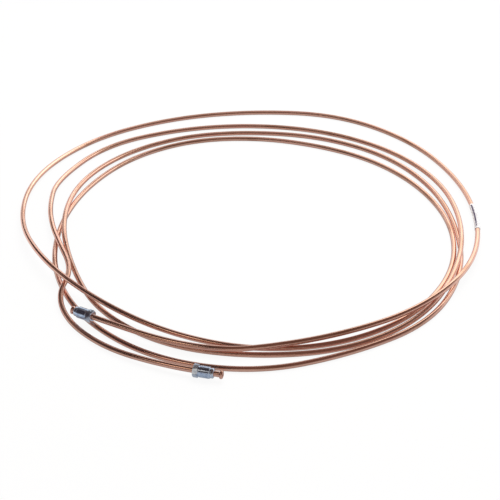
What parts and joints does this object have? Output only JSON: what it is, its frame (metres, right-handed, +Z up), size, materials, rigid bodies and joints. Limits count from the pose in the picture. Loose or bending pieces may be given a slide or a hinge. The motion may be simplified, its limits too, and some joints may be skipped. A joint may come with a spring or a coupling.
{
  "type": "coiled copper fluid line",
  "caption": "Thin round copper line in a loose flat coil, flared at both ends, with a loose male hex tube nut behind each flare and a bare paper label.",
  "frame": {"origin": "on the floor, under the middle of the coil's box", "axes": "+Z up, the coil lies flat; +Y away from the side where the two nuts lie, along its longest extent"},
  "size_m": [0.4383, 0.4588, 0.0166],
  "materials": {
    "copper": "bright drawn copper",
    "plated_steel": "zinc plated",
    "paper": "matt paper"
  },
  "bodies": {
    "line": {"copper_tube": "copper", "paper_label": "paper"},
    "front_nut": {"front_tube_nut": "plated_steel"},
    "side_nut": {"side_tube_nut": "plated_steel"}
  },
  "joints": [
    {"name": "front_nut_spin", "type": "hinge", "parent": "line", "child": "front_nut", "pos_m": [-0.03571, -0.22215, 0.00637], "axis": [0.9664, -0.257, 0.0062], "continuous": true},
    {"name": "side_nut_spin", "type": "hinge", "parent": "line", "child": "side_nut", "pos_m": [-0.13897, -0.15138, 0.01149], "axis": [-0.8875, 0.4603, 0.0234], "continuous": true}
  ]
}
